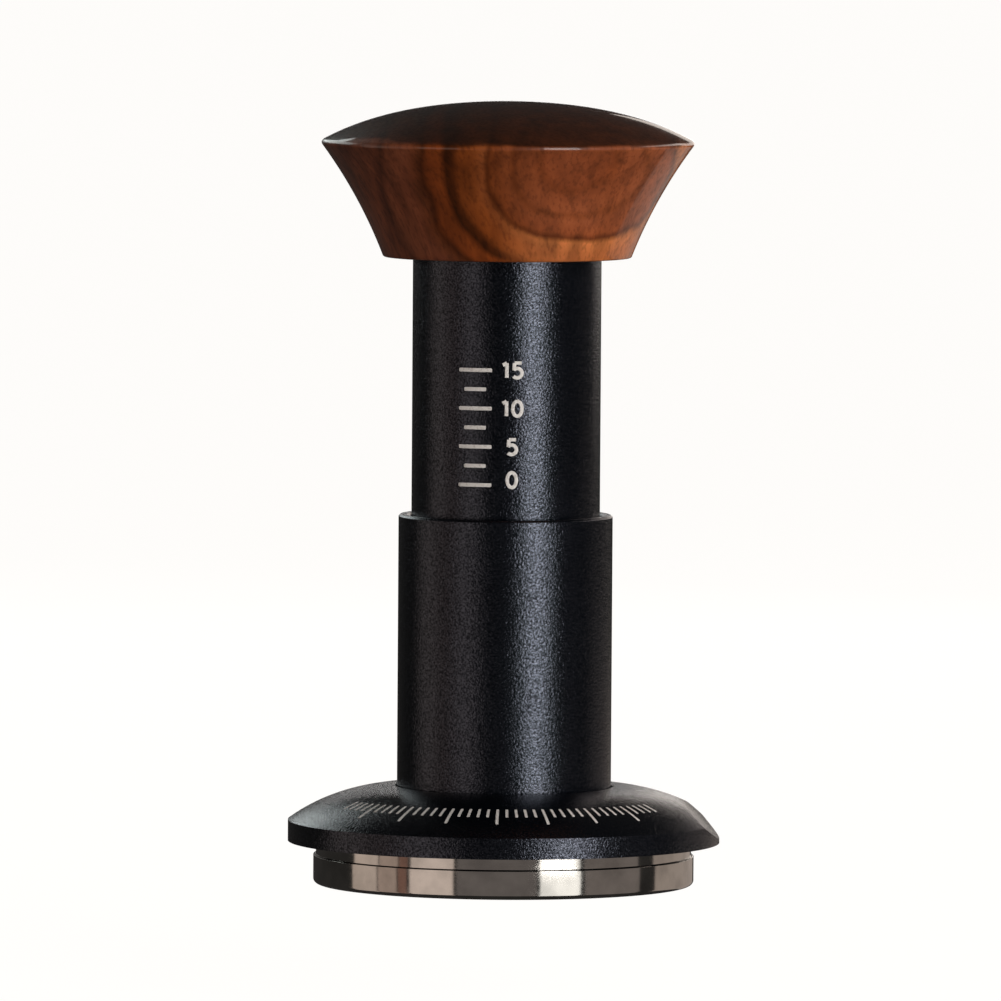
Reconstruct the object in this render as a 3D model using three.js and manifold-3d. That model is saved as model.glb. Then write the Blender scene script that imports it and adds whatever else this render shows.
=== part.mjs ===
// Espresso tamper: a levelling skirt that rests on the basket's rim, a sprung base that is
// pressed below it, and a handle with an automatic trip that knocks the base once at the
// set force, as a centre punch does.
//
// Millimetres, +Z up. The origin is the centre of the tamping face. The side of the handle
// that carries the scale faces -Y, and the flat on the skirt faces +X.

import * as THREE from "three";
import { mergeVertices } from "three/addons/utils/BufferGeometryUtils.js";
import Module from "manifold-3d";

const wasm = await Module();
wasm.setup();

// ---------------------------------------------------------------- driving dimensions

const gap = 0.3; // between pieces that rest on each other or are screwed together
const runningGap = 0.1; // between a guide ring and the wall it slides on
const past = 1; // how far a cutting solid runs past the face it cuts

const baseStroke = 17.5; // travel of the base below the skirt
const pressStroke = 5.2; // travel of the handle on the shaft, up to the trip
const floorClearance = 1.3; // left under the tube when both strokes are used up

const baseRadius = 58.35 / 2;
const baseBandHeight = 4.5;
const baseNeckInset = 0.4;
const baseNeckHeight = 1.7;
const baseEdgeRound = 0.75;
const baseBandChamfer = 0.3;
const bossRadius = 8;
const bossHeight = 2.8;
const bossClearance = 1;

const skirtOverhang = 3.925; // what rests on the basket's rim
const skirtRimHeight = 3.2;
const skirtFloorHeight = 3;
const skirtCrownRise = 5.33;
const skirtEdgeChamfer = 0.4;
const skirtRelief = 0.3; // how far the underside is raised inside the ring that lands
const skirtFlatInset = 5.5; // how far the flat reaches in from the rim, along the crown
const skirtFlatFoot = 0.7; // height of the flat's lower end above the underside

const tubeRadius = 14.435;
const tubeWall = 2;
const tubeInKnob = 7.9;
const sleeveClearance = 0.35;
const sleeveWall = 1.62;
const sleeveLength = 46.9;
const sleeveFloorHeight = 3.7;
const rimChamfer = 0.3;

const guideRing = { height: 4, thickness: 0.9, split: 1.2 };
const upperGuideDrop = 2.7; // from the sleeve's mouth down to its guide ring
const lowerGuideRise = 1.5; // from the tube's lower end up to its guide ring

const shaftRadius = 5;
const shaftTipRadius = 4;
const shaftTipDepth = 6.7; // thread engaged in the base
const shaftFlatDepth = 0.4;
const anvilHeight = 3;
const stemRadius = 3;
const stemHeight = 4;

const bushWall = 2;
const bushFlangeHeight = 1.2;
const washerHeight = 0.8;
const collarHeight = 2;
const clip = { width: 1.2, height: 0.8, grooveDepth: 0.7, mouth: 5 };
const endRingHeight = 3;
const seatRingHeight = 2.7;
const seatOverlap = 1.4; // how far the seat ring reaches under the striker
const spannerHole = { radius: 0.9, depth: 1.6 };

const retractSpare = 1; // length left in the retract spring after its whole stroke
const returnSpare = 0.5; // and in the return spring
const closedPitch = 1.06; // rise of a spring's closed end turn, in wire thicknesses
const collarInset = 1.9; // from the tube's bore in to the collar's edge
const springInset = 0.8; // from the collar's edge in to the outside of a light spring
const strikerInset = 2.25; // from the striker's edge in to the outside of the main spring

const camLinerLip = 0.635; // wall left at the mouth of the cam liner
const strikerHeight = 14.3;
const strikerSpigotHeight = 2.6;
const tripOffset = 1.2; // how far off centre the trip block waits
const tripBlockHeight = 5;
const tripBlockWidth = 11.4;
const tripSpringRoom = 1.5; // from the centred trip block to the end of its slot
const tripPocketDepth = 2.5;
const slotEndWall = 1.8;

const springCapHeight = 2.5;
const tubeCapHeight = 6;
const spigotRadius = 8;
const spigotHeight = 7;
const preloadScrew = { radius: 4, length: 10, socket: 4, socketDepth: 4 };

const knobLip = 4.715; // wood round the tube at the knob's underside
const knobWidestRadius = 28.5;
const knobFlareHeight = 17.5;
const knobFlareHollow = 0.57; // how far the flare curves in from a straight line
const knobCrownRise = 5.5;
const knobRimRound = 0.9;
const knobEdgeRound = 0.6;
const handleReach = 39.4; // from the sleeve's mouth to the knob's underside
const insertWall = 2.7;
const insertHeight = 8;

const skirtScrewCount = 3;
const skirtScrew = {
  radius: 1.5, headRadius: 3, headHeight: 1.7, length: 5.7, socket: 2, socketDepth: 1.1,
};
const grubScrew = { radius: 1, length: 3, socket: 0.9, socketDepth: 1 };

// ---------------------------------------------------------------- radii that fit each other

const skirtRadius = baseRadius + skirtOverhang;
const skirtHoleRadius = bossRadius + bossClearance;
const landingRadius = baseRadius + gap; // inner edge of the ring that lands on the basket
const tubeBore = tubeRadius - tubeWall;
const sleeveBore = tubeRadius + sleeveClearance;
const sleeveRadius = sleeveBore + sleeveWall;
const sleeveSeatRadius = sleeveRadius + gap;
const skirtScrewCircle = (skirtHoleRadius + sleeveRadius - gap) / 2;
const upperGuideOuter = tubeRadius + runningGap + guideRing.thickness;
const lowerGuideInner = sleeveBore - runningGap - guideRing.thickness;

const linedRadius = tubeBore - gap; // outside of everything screwed into the tube
const strikerRadius = linedRadius - camLinerLip - tripOffset - gap;
const linerBore = strikerRadius + gap;
const seatRadius = strikerRadius - seatOverlap;
const anvilRadius = seatRadius - 2 * gap;
const stemHoleRadius = stemRadius + gap + runningGap;
const tripBlockTail = strikerRadius - slotEndWall - tripSpringRoom;

const bushRadius = shaftRadius + gap + bushWall;
const collarRadius = tubeBore - collarInset;
const bushFlangeRadius = collarRadius + bossClearance;
const clipRadius = shaftRadius + clip.width;
const insertRadius = spigotRadius + gap + insertWall;

// ---------------------------------------------------------------- springs

function springOf(outerRadius, wire, turns) {
  return { radius: outerRadius - wire / 2, wire, turns };
}

function closedLength(spring) {
  return (spring.turns + 1) * spring.wire;
}

const retractSpring = springOf(collarRadius - springInset, 1, 7);
const returnSpring = springOf(collarRadius - springInset, 0.8, 3);
const mainSpring = springOf(strikerRadius - strikerInset, 1.5, 6);
const tripSpring = springOf(1.5, 0.45, 4);
const retractSpringLength = baseStroke + closedLength(retractSpring) + retractSpare;
const returnSpringLength = pressStroke + closedLength(returnSpring) + returnSpare;

// ---------------------------------------------------------------- levels, from the base up

const baseTop = baseBandHeight + baseNeckHeight;
const bossTop = baseTop + bossHeight;
const skirtBottom = baseTop + gap;
const skirtRimTop = skirtBottom + skirtRimHeight;
const skirtFloorTop = skirtBottom + skirtFloorHeight;
const sleeveBottom = skirtFloorTop + gap;
const sleeveFloorTop = sleeveBottom + sleeveFloorHeight;
const sleeveTop = sleeveBottom + sleeveLength;

const bushFlangeTop = sleeveFloorTop + gap + bushFlangeHeight;
const washerBottom = bushFlangeTop + gap;
const retractSpringBottom = washerBottom + washerHeight + gap;
const collarBottom = retractSpringBottom + retractSpringLength + gap;
const collarTop = collarBottom + collarHeight;
const returnSpringBottom = collarTop + gap;
const endRingBottom = returnSpringBottom + returnSpringLength + gap;
const endRingTop = endRingBottom + endRingHeight;
const anvilBottom = endRingTop + gap;
const anvilTop = anvilBottom + anvilHeight;
const stemTop = anvilTop + stemHeight;
const strikerBottom = stemTop + gap;
const tripBlockTop = strikerBottom + tripBlockHeight;
const strikerTop = strikerBottom + strikerHeight;

const tubeBottom = sleeveFloorTop + baseStroke + pressStroke + floorClearance;
const knobBottom = sleeveTop + handleReach;
const knobRim = knobBottom + knobFlareHeight;
const tubeTop = knobBottom + tubeInKnob;
const tubeCapBottom = tubeTop - tubeCapHeight;
const springCapTop = tubeCapBottom - gap;
const mainSpringBottom = strikerTop + gap;
const mainSpringLength = springCapTop - springCapHeight - gap - mainSpringBottom;

// ---------------------------------------------------------------- shape helpers

const fineTurn = 48; // facets round the outer pieces
const plainTurn = 32; // facets round the inner pieces
const smallTurn = 12; // facets round screws
const roundSteps = 4; // facets across a rounded edge
const curveSteps = 6; // facets along a crown or a flare
const wireSegments = 3; // facets round each half of a spring's wire

// Points of a circular arc in a half-section, from one angle to another, in degrees.
function arc([centreRadius, centreHeight], radius, fromDegrees, toDegrees, steps) {
  const points = [];
  for (let step = 0; step <= steps; step++) {
    const angle = THREE.MathUtils.degToRad(
      THREE.MathUtils.lerp(fromDegrees, toDegrees, step / steps));
    points.push([
      centreRadius + radius * Math.cos(angle),
      centreHeight + radius * Math.sin(angle),
    ]);
  }
  return points;
}

// The radius of an arc that is level at one end and rises by `rise` over `width`.
function crownArcRadius(width, rise) {
  return (width ** 2 + rise ** 2) / (2 * rise);
}

// A crown: an arc that rises inward from a rim and is level where it ends.
function crown(rimRadius, innerRadius, rimHeight, rise, steps) {
  const width = rimRadius - innerRadius;
  const radius = crownArcRadius(width, rise);
  const spread = THREE.MathUtils.radToDeg(Math.asin(width / radius));
  const centre = [innerRadius, rimHeight + rise - radius];
  return arc(centre, radius, 90 - spread, 90, steps);
}

// A bowed line between two points, hollow by the given depth towards the axis.
function hollowLine(start, end, depth, steps) {
  const points = [];
  for (let step = 0; step <= steps; step++) {
    const share = step / steps;
    const sag = 4 * depth * share * (1 - share);
    points.push([
      THREE.MathUtils.lerp(start[0], end[0], share) - sag,
      THREE.MathUtils.lerp(start[1], end[1], share) + sag / 2,
    ]);
  }
  return points;
}

// Turns a half-section of [radius, height] points round the Z axis. The section is listed
// anticlockwise, and it starts and ends on the axis or is closed here.
function turned(section, segments) {
  const points = section.map(([radius, height]) => new THREE.Vector2(radius, height));
  const last = section[section.length - 1];
  if (section[0][0] > 0 || last[0] > 0) {
    points.push(points[0].clone());
  }
  const geometry = new THREE.LatheGeometry(points, segments);
  geometry.rotateX(Math.PI / 2);
  return toSolid(geometry);
}

function cylinder(radius, bottom, top, segments = plainTurn) {
  return turned([[0, bottom], [radius, bottom], [radius, top], [0, top]], segments);
}

function ring(innerRadius, outerRadius, bottom, top, segments = plainTurn) {
  const section = [
    [innerRadius, bottom],
    [outerRadius, bottom],
    [outerRadius, top],
    [innerRadius, top],
  ];
  return turned(section, segments);
}

// A box from its lowest corner to its highest corner.
function block([x0, y0, z0], [x1, y1, z1]) {
  const geometry = new THREE.BoxGeometry(x1 - x0, y1 - y0, z1 - z0);
  geometry.translate((x0 + x1) / 2, (y0 + y1) / 2, (z0 + z1) / 2);
  return toSolid(geometry);
}

// A hexagonal bar along Z, for a socket.
function hexagon(acrossFlats, bottom, top) {
  const cornerRadius = acrossFlats / 2 / Math.cos(Math.PI / 6);
  return cylinder(cornerRadius, bottom, top, 6);
}

function toSolid(geometry) {
  const bare = geometry.index ? geometry.clone() : geometry;
  bare.deleteAttribute("normal");
  bare.deleteAttribute("uv");
  const merged = mergeVertices(bare, 1e-4);
  const corners = Array.from(merged.index.array);
  const triangles = [];
  for (let first = 0; first < corners.length; first += 3) {
    const [a, b, c] = corners.slice(first, first + 3);
    if (a !== b && b !== c && c !== a) {
      triangles.push(a, b, c);
    }
  }
  return new wasm.Manifold(new wasm.Mesh({
    numProp: 3,
    vertProperties: Float32Array.from(merged.attributes.position.array),
    triVerts: Uint32Array.from(triangles),
  }));
}

function toGeometry(solid) {
  const { vertProperties, triVerts, numProp } = solid.getMesh();
  const geometry = new THREE.BufferGeometry();
  geometry.setAttribute("position", new THREE.BufferAttribute(vertProperties, numProp));
  geometry.setIndex(new THREE.BufferAttribute(triVerts, 1));
  geometry.computeVertexNormals();
  return geometry;
}

// The centre line of a coil spring that stands on Z, with a closed turn at each end.
class CoilPath extends THREE.Curve {
  constructor({ radius, wire, turns }, bottom, length) {
    super();
    Object.assign(this, { radius, wire, turns, bottom, length });
  }

  getPoint(share, target = new THREE.Vector3()) {
    const turn = share * this.turns;
    const openTurns = this.turns - 2;
    const closedRise = this.wire * closedPitch;
    const openRise = (this.length - this.wire - 2 * closedRise) / openTurns;
    const height = this.bottom + this.wire / 2
      + Math.min(turn, 1) * closedRise
      + THREE.MathUtils.clamp(turn - 1, 0, openTurns) * openRise
      + Math.max(turn - 1 - openTurns, 0) * closedRise;
    const angle = turn * 2 * Math.PI;
    return target.set(this.radius * Math.cos(angle), this.radius * Math.sin(angle), height);
  }
}

function coil(spring, bottom, length) {
  const section = new THREE.Shape();
  section.absarc(0, 0, spring.wire / 2, 0, 2 * Math.PI);
  const geometry = new THREE.ExtrudeGeometry(section, {
    steps: spring.turns * smallTurn,
    curveSegments: wireSegments,
    bevelEnabled: false,
    extrudePath: new CoilPath(spring, bottom, length),
  });
  return toSolid(geometry);
}

// ---------------------------------------------------------------- materials

function finish(color, roughness, metalness) {
  return new THREE.MeshStandardMaterial({ color, roughness, metalness });
}

const wood = finish(0x6e3a22, 0.35, 0);
const blackCoat = finish(0x16181c, 0.6, 0.2);
const polishedSteel = finish(0xb9b4aa, 0.22, 1);
const shaftSteel = finish(0x9a9a98, 0.3, 1);
const hardSteel = finish(0x5b5d60, 0.4, 1);
const springSteel = finish(0x8a8d92, 0.35, 1);
const blackScrew = finish(0x232427, 0.45, 0.8);
const bronze = finish(0xa87a3c, 0.45, 1);
const brass = finish(0xc9a24a, 0.35, 1);
const guidePlastic = finish(0xe6e2d6, 0.55, 0);

// ---------------------------------------------------------------- base and shaft

function tampingBase() {
  const neckRadius = baseRadius - baseNeckInset;
  const holeRadius = shaftTipRadius + gap;
  const holeBottom = bossTop - shaftTipDepth - gap;
  const roundCentre = [baseRadius - baseEdgeRound, baseEdgeRound];
  const disc = turned([
    [0, 0],
    ...arc(roundCentre, baseEdgeRound, -90, 0, roundSteps),
    [baseRadius, baseBandHeight - baseBandChamfer],
    [baseRadius - baseBandChamfer, baseBandHeight],
    [neckRadius, baseBandHeight],
    [neckRadius, baseTop],
    [bossRadius, baseTop],
    [bossRadius, bossTop],
    [holeRadius, bossTop],
    [holeRadius, holeBottom],
    [0, holeBottom],
  ], fineTurn);
  const grubBore = cylinder(
    grubScrew.radius + gap, shaftTipRadius, bossRadius + past, smallTurn);
  return disc.subtract(layAlongY(grubBore));
}

// The grub screw lies along +Y in the boss, half way up.
function layAlongY(solid) {
  return solid.rotate([-90, 0, 0]).translate([0, 0, baseTop + bossHeight / 2]);
}

function baseGrubScrew() {
  const inner = shaftTipRadius + gap;
  const outer = inner + grubScrew.length;
  const body = cylinder(grubScrew.radius, inner, outer, smallTurn);
  return layAlongY(body.subtract(socketFrom(outer, grubScrew)));
}

// A hexagon socket cut down into a screw from its top face.
function socketFrom(top, { socket, socketDepth }) {
  return hexagon(socket, top - socketDepth, top + past);
}

function anvilShaft() {
  const grooveRadius = shaftRadius - clip.grooveDepth;
  const grooveTop = collarTop + clip.height + 2 * gap;
  const tip = bossTop - shaftTipDepth;
  const shoulder = bossTop + gap;
  const shaft = turned([
    [0, tip],
    [shaftTipRadius, tip],
    [shaftTipRadius, shoulder],
    [shaftRadius, shoulder],
    [shaftRadius, collarTop],
    [grooveRadius, collarTop],
    [grooveRadius, grooveTop],
    [shaftRadius, grooveTop],
    [shaftRadius, anvilBottom],
    [anvilRadius, anvilBottom],
    [anvilRadius, anvilTop],
    [stemRadius, anvilTop],
    [stemRadius, stemTop],
    [0, stemTop],
  ], plainTurn);
  const flat = shaftRadius - shaftFlatDepth;
  const reach = shaftRadius + past;
  const flatBottom = endRingBottom - pressStroke - gap;
  const farSide = block([-reach, flat, flatBottom], [reach, reach, anvilBottom]);
  const nearSide = block([-reach, -reach, flatBottom], [reach, -flat, anvilBottom]);
  return shaft.subtract(farSide).subtract(nearSide);
}

function springCollar() {
  return ring(shaftRadius + gap, collarRadius, collarBottom, collarTop);
}

function collarClip() {
  const bottom = collarTop + gap;
  const top = bottom + clip.height;
  const innerRadius = shaftRadius - clip.grooveDepth + gap;
  const mouth = block(
    [-clip.mouth / 2, 0, bottom - past], [clip.mouth / 2, clipRadius + past, top + past]);
  return ring(innerRadius, clipRadius, bottom, top).subtract(mouth);
}

// ---------------------------------------------------------------- sleeve and skirt

function levellingSkirt() {
  const body = turned([
    [skirtHoleRadius, skirtBottom + skirtRelief],
    [landingRadius, skirtBottom + skirtRelief],
    [landingRadius, skirtBottom],
    [skirtRadius - skirtEdgeChamfer, skirtBottom],
    [skirtRadius, skirtBottom + skirtEdgeChamfer],
    ...crown(skirtRadius, sleeveSeatRadius, skirtRimTop, skirtCrownRise, curveSteps),
    [sleeveSeatRadius, skirtFloorTop],
    [skirtHoleRadius, skirtFloorTop],
  ], fineTurn);
  return body.subtract(skirtFlatCutter()).subtract(skirtScrewHoles());
}

// The flat slopes from the crown down to the rim on the +X side.
function skirtFlatCutter() {
  const footHeight = skirtBottom + skirtFlatFoot;
  const crownWidth = skirtRadius - sleeveSeatRadius;
  const crownRadius = crownArcRadius(crownWidth, skirtCrownRise);
  const inFromSeat = crownWidth - skirtFlatInset;
  const crownDrop = crownRadius - Math.sqrt(crownRadius ** 2 - inFromSeat ** 2);
  const headHeight = skirtRimTop + skirtCrownRise - crownDrop;
  const slope = Math.atan2(headHeight - footHeight, skirtFlatInset);
  const reach = skirtRadius;
  return block([-reach, -reach, 0], [reach, reach, reach])
    .rotate([0, THREE.MathUtils.radToDeg(slope), 0])
    .translate([skirtRadius, 0, footHeight]);
}

// One copy of a solid at each skirt screw, the first at the back.
function roundSkirtScrews(solid) {
  const copies = [];
  for (let index = 0; index < skirtScrewCount; index++) {
    copies.push(solid.rotate([0, 0, (index * 360) / skirtScrewCount]));
  }
  return copies;
}

// Countersunk from under the skirt, and blind in the sleeve's floor.
function skirtScrewHoles() {
  const { radius, headRadius, headHeight, length } = skirtScrew;
  const headBottom = skirtBottom + gap;
  const holeTop = headBottom + length + gap;
  const hole = turned([
    [0, skirtBottom - past],
    [headRadius + gap, skirtBottom - past],
    [headRadius + gap, headBottom + gap],
    [radius + gap, headBottom + headHeight + gap],
    [radius + gap, holeTop],
    [0, holeTop],
  ], smallTurn);
  const [first, ...others] = roundSkirtScrews(hole.translate([0, skirtScrewCircle, 0]));
  return others.reduce((all, next) => all.add(next), first);
}

function skirtScrews() {
  const { radius, headRadius, headHeight, length, socket, socketDepth } = skirtScrew;
  const bottom = skirtBottom + gap;
  const body = turned([
    [0, bottom],
    [headRadius, bottom],
    [headRadius, bottom + gap],
    [radius, bottom + headHeight],
    [radius, bottom + length],
    [0, bottom + length],
  ], smallTurn);
  const driverSocket = hexagon(socket, bottom - past, bottom + socketDepth);
  return roundSkirtScrews(body.subtract(driverSocket).translate([0, skirtScrewCircle, 0]));
}

function lowerSleeve() {
  const floorHole = bushRadius + gap;
  const grooveRadius = upperGuideOuter + gap;
  const grooveTop = sleeveTop - upperGuideDrop + gap;
  const grooveBottom = grooveTop - guideRing.height - 2 * gap;
  const body = turned([
    [floorHole, sleeveBottom],
    [sleeveRadius - rimChamfer, sleeveBottom],
    [sleeveRadius, sleeveBottom + rimChamfer],
    [sleeveRadius, sleeveTop - rimChamfer],
    [sleeveRadius - rimChamfer, sleeveTop],
    [sleeveBore + rimChamfer, sleeveTop],
    [sleeveBore, sleeveTop - rimChamfer],
    [sleeveBore, grooveTop],
    [grooveRadius, grooveTop],
    [grooveRadius, grooveBottom],
    [sleeveBore, grooveBottom],
    [sleeveBore, sleeveFloorTop],
    [floorHole, sleeveFloorTop],
  ], fineTurn);
  return body.subtract(skirtScrewHoles());
}

function shaftBush() {
  const flangeBottom = sleeveFloorTop + gap;
  return turned([
    [shaftRadius + gap, sleeveBottom],
    [bushRadius, sleeveBottom],
    [bushRadius, flangeBottom],
    [bushFlangeRadius, flangeBottom],
    [bushFlangeRadius, bushFlangeTop],
    [shaftRadius + gap, bushFlangeTop],
  ], plainTurn);
}

function retractWasher() {
  return ring(shaftRadius + gap, bushFlangeRadius, washerBottom, washerBottom + washerHeight);
}

// A split wear ring, with its split at the back.
function splitRing(innerRadius, outerRadius, bottom) {
  const top = bottom + guideRing.height;
  const halfSplit = guideRing.split / 2;
  const split = block(
    [-halfSplit, 0, bottom - past], [halfSplit, outerRadius + past, top + past]);
  return ring(innerRadius, outerRadius, bottom, top).subtract(split);
}

function upperGuideRing() {
  const bottom = sleeveTop - upperGuideDrop - guideRing.height;
  return splitRing(tubeRadius + runningGap, upperGuideOuter, bottom);
}

function lowerGuideRing() {
  return splitRing(lowerGuideInner, sleeveBore - runningGap, tubeBottom + lowerGuideRise);
}

// ---------------------------------------------------------------- handle tube

function upperTube() {
  const grooveRadius = lowerGuideInner - gap;
  const grooveBottom = tubeBottom + lowerGuideRise - gap;
  const grooveTop = grooveBottom + guideRing.height + 2 * gap;
  return turned([
    [tubeBore, tubeBottom],
    [tubeRadius - rimChamfer, tubeBottom],
    [tubeRadius, tubeBottom + rimChamfer],
    [tubeRadius, grooveBottom],
    [grooveRadius, grooveBottom],
    [grooveRadius, grooveTop],
    [tubeRadius, grooveTop],
    [tubeRadius, tubeTop - rimChamfer],
    [tubeRadius - rimChamfer, tubeTop],
    [tubeBore, tubeTop],
  ], fineTurn);
}

// Threaded into the tube's lower end, and keyed to the flats of the shaft.
function endRing() {
  const flat = shaftRadius - shaftFlatDepth + gap;
  const reach = shaftRadius + past;
  const below = endRingBottom - past;
  const above = endRingTop + past;
  const keyhole = cylinder(shaftRadius + gap, below, above)
    .intersect(block([-reach, -flat, below], [reach, flat, above]));
  const body = cylinder(linedRadius, endRingBottom, endRingTop).subtract(keyhole);
  const spannerCircle = (shaftRadius + linedRadius) / 2;
  const hole = cylinder(spannerHole.radius, below, endRingBottom + spannerHole.depth, smallTurn);
  return body
    .subtract(hole.translate([spannerCircle, 0, 0]))
    .subtract(hole.translate([-spannerCircle, 0, 0]));
}

// The trip block waits on this ring, and the anvil passes through it.
function seatRing() {
  const top = strikerBottom - gap;
  return ring(seatRadius, linedRadius, top - seatRingHeight, top);
}

// The liner's mouth is a cone that centres the trip block as it rises through the stroke.
function camLiner() {
  return turned([
    [linerBore + tripOffset, tripBlockTop],
    [linedRadius, tripBlockTop],
    [linedRadius, springCapTop],
    [linerBore, springCapTop],
    [linerBore, tripBlockTop + pressStroke],
  ], plainTurn);
}

function springCap() {
  return cylinder(strikerRadius - runningGap, springCapTop - springCapHeight, springCapTop);
}

function tubeCap() {
  const bore = preloadScrew.radius + gap;
  return turned([
    [bore, tubeCapBottom],
    [linedRadius, tubeCapBottom],
    [linedRadius, tubeTop],
    [spigotRadius, tubeTop],
    [spigotRadius, tubeTop + spigotHeight],
    [bore, tubeTop + spigotHeight],
  ], plainTurn);
}

function preloadScrewBody() {
  const top = tubeCapBottom + preloadScrew.length;
  const body = cylinder(preloadScrew.radius, tubeCapBottom, top, smallTurn);
  return body.subtract(socketFrom(top, preloadScrew));
}

// ---------------------------------------------------------------- striker and trip

function striker() {
  const spigot = mainSpring.radius - mainSpring.wire / 2 - 2 * gap;
  const body = turned([
    [0, strikerBottom],
    [strikerRadius, strikerBottom],
    [strikerRadius, strikerTop],
    [spigot, strikerTop],
    [spigot, strikerTop + strikerSpigotHeight],
    [0, strikerTop + strikerSpigotHeight],
  ], plainTurn);
  const halfSlot = tripBlockWidth / 2 + gap;
  const slot = block(
    [slotEndWall - strikerRadius, -halfSlot, strikerBottom - past],
    [strikerRadius + past, halfSlot, tripBlockTop + gap]);
  return body.subtract(slot);
}

// Slides across the striker's slot, and waits off centre towards +X.
function tripBlock() {
  const halfWidth = tripBlockWidth / 2;
  const below = strikerBottom - past;
  const above = tripBlockTop + past;
  const bar = block(
    [-tripBlockTail, -halfWidth, strikerBottom],
    [strikerRadius + past, halfWidth, tripBlockTop]);
  const pocketRadius = tripSpring.radius + tripSpring.wire / 2 + gap;
  const pocket = cylinder(pocketRadius, -past, tripPocketDepth, smallTurn);
  return bar
    .intersect(cylinder(strikerRadius, below, above))
    .subtract(cylinder(stemHoleRadius, below, above))
    .subtract(layAlongX(pocket, -tripBlockTail))
    .translate([tripOffset, 0, 0]);
}

// Lays a solid that stands on Z along +X, half way up the trip block.
function layAlongX(solid, start) {
  return solid
    .rotate([0, 90, 0])
    .translate([start, 0, strikerBottom + tripBlockHeight / 2]);
}

function tripSpringCoil() {
  const start = slotEndWall - strikerRadius + gap;
  const end = tripOffset - tripBlockTail + tripPocketDepth - gap;
  return layAlongX(coil(tripSpring, 0, end - start), start);
}

// ---------------------------------------------------------------- knob

function knobInsert() {
  const bottom = tubeTop + gap;
  return ring(spigotRadius + gap, insertRadius, bottom, bottom + insertHeight);
}

function knob() {
  const socketRadius = tubeRadius + gap;
  const socketTop = tubeTop + gap;
  const insertTop = socketTop + insertHeight + gap;
  const bottomRadius = tubeRadius + knobLip;
  const flareStart = [bottomRadius, knobBottom + knobEdgeRound];
  const flareEnd = [knobWidestRadius, knobRim];
  const crownRadius = knobWidestRadius - knobRimRound / 2;
  return turned([
    [socketRadius, knobBottom],
    [bottomRadius - knobEdgeRound, knobBottom],
    ...hollowLine(flareStart, flareEnd, knobFlareHollow, curveSteps),
    ...crown(crownRadius, 0, knobRim + knobRimRound, knobCrownRise, curveSteps),
    [0, insertTop],
    [insertRadius + gap, insertTop],
    [insertRadius + gap, socketTop],
    [socketRadius, socketTop],
    [socketRadius, knobBottom],
  ], fineTurn);
}

// ---------------------------------------------------------------- assembly

const tamper = new THREE.Group();

function addPiece(name, solid, material) {
  const mesh = new THREE.Mesh(toGeometry(solid), material);
  mesh.name = name;
  tamper.add(mesh);
}

addPiece("tamping_base", tampingBase(), polishedSteel);
addPiece("base_grub_screw", baseGrubScrew(), blackScrew);
addPiece("anvil_shaft", anvilShaft(), shaftSteel);
addPiece("spring_collar", springCollar(), shaftSteel);
addPiece("collar_clip", collarClip(), springSteel);
addPiece("return_spring",
  coil(returnSpring, returnSpringBottom, returnSpringLength), springSteel);

addPiece("levelling_skirt", levellingSkirt(), blackCoat);
addPiece("lower_sleeve", lowerSleeve(), blackCoat);
addPiece("shaft_bush", shaftBush(), bronze);
addPiece("upper_guide_ring", upperGuideRing(), guidePlastic);
skirtScrews().forEach((screw, index) => {
  addPiece(`skirt_screw_${index + 1}`, screw, blackScrew);
});

addPiece("retract_washer", retractWasher(), shaftSteel);
addPiece("retract_spring",
  coil(retractSpring, retractSpringBottom, retractSpringLength), springSteel);

addPiece("upper_tube", upperTube(), blackCoat);
addPiece("lower_guide_ring", lowerGuideRing(), guidePlastic);
addPiece("end_ring", endRing(), shaftSteel);
addPiece("seat_ring", seatRing(), hardSteel);
addPiece("cam_liner", camLiner(), hardSteel);
addPiece("main_spring", coil(mainSpring, mainSpringBottom, mainSpringLength), springSteel);
addPiece("spring_cap", springCap(), shaftSteel);
addPiece("tube_cap", tubeCap(), shaftSteel);
addPiece("preload_screw", preloadScrewBody(), blackScrew);
addPiece("knob_insert", knobInsert(), brass);
addPiece("knob", knob(), wood);

addPiece("striker", striker(), hardSteel);
addPiece("trip_block", tripBlock(), hardSteel);
addPiece("trip_spring", tripSpringCoil(), springSteel);

export default tamper;
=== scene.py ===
# %% [markdown]
# # A self-levelling espresso tamper
# The tamper is a wooden knob on a black handle tube, which slides into a black sleeve. The
# sleeve stands on a domed skirt that rests on the basket's rim, and a polished steel base is
# pressed out below it. The frame holds every piece at its real size and place, in metres,
# so this lesson only makes the surfaces: smooth turned shells where the frame's solids are
# faceted, the printed scale, and a finish for each material.

# %% Load the frame
import math

import bmesh
import bpy
from mathutils import Matrix, Vector


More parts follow.
